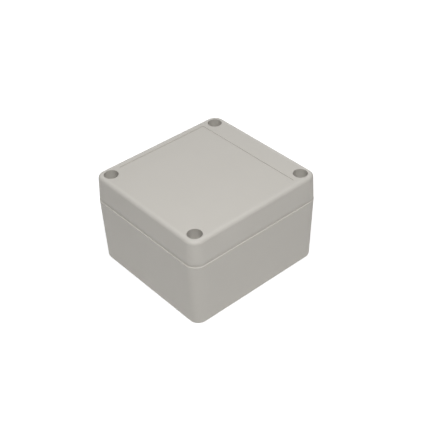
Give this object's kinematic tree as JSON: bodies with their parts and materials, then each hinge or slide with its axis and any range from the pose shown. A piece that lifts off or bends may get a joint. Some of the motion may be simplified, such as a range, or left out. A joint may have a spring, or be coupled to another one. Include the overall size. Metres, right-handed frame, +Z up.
{
  "type": "plastic project box",
  "caption": "Sealed rectangular project box with drafted rounded walls, a deep base and a shallow lid with sunk corner screws and a recessed label panel.",
  "frame": {"origin": "centre of the underside of the base", "axes": "+Z up through the lid; X across the 80 mm width, Y along the 85 mm length; the picture looks at the -Y and +X sides"},
  "size_m": [0.0806, 0.0856, 0.0535],
  "materials": {
    "shell": "fine matt moulded texture",
    "rubber": "matt",
    "brass": "turned and knurled",
    "steel": "bright"
  },
  "bodies": {
    "base": {"base": "shell", "insert_front_left": "brass", "insert_front_right": "brass", "insert_back_right": "brass", "insert_back_left": "brass"},
    "lid": {"lid": "shell", "gasket": "rubber"},
    "screw_front_left": {"screw_front_left": "steel"},
    "screw_front_right": {"screw_front_right": "steel"},
    "screw_back_right": {"screw_back_right": "steel"},
    "screw_back_left": {"screw_back_left": "steel"}
  },
  "joints": [
    {"name": "lid_lift", "type": "slide", "parent": "base", "child": "lid", "axis": [0, 0, 1], "range_m": [0, 0.05]},
    {"name": "screw_out_front_left", "type": "slide", "parent": "lid", "child": "screw_front_left", "axis": [0, 0, 1], "range_m": [0, 0.025]},
    {"name": "screw_out_front_right", "type": "slide", "parent": "lid", "child": "screw_front_right", "axis": [0, 0, 1], "range_m": [0, 0.025]},
    {"name": "screw_out_back_right", "type": "slide", "parent": "lid", "child": "screw_back_right", "axis": [0, 0, 1], "range_m": [0, 0.025]},
    {"name": "screw_out_back_left", "type": "slide", "parent": "lid", "child": "screw_back_left", "axis": [0, 0, 1], "range_m": [0, 0.025]}
  ]
}
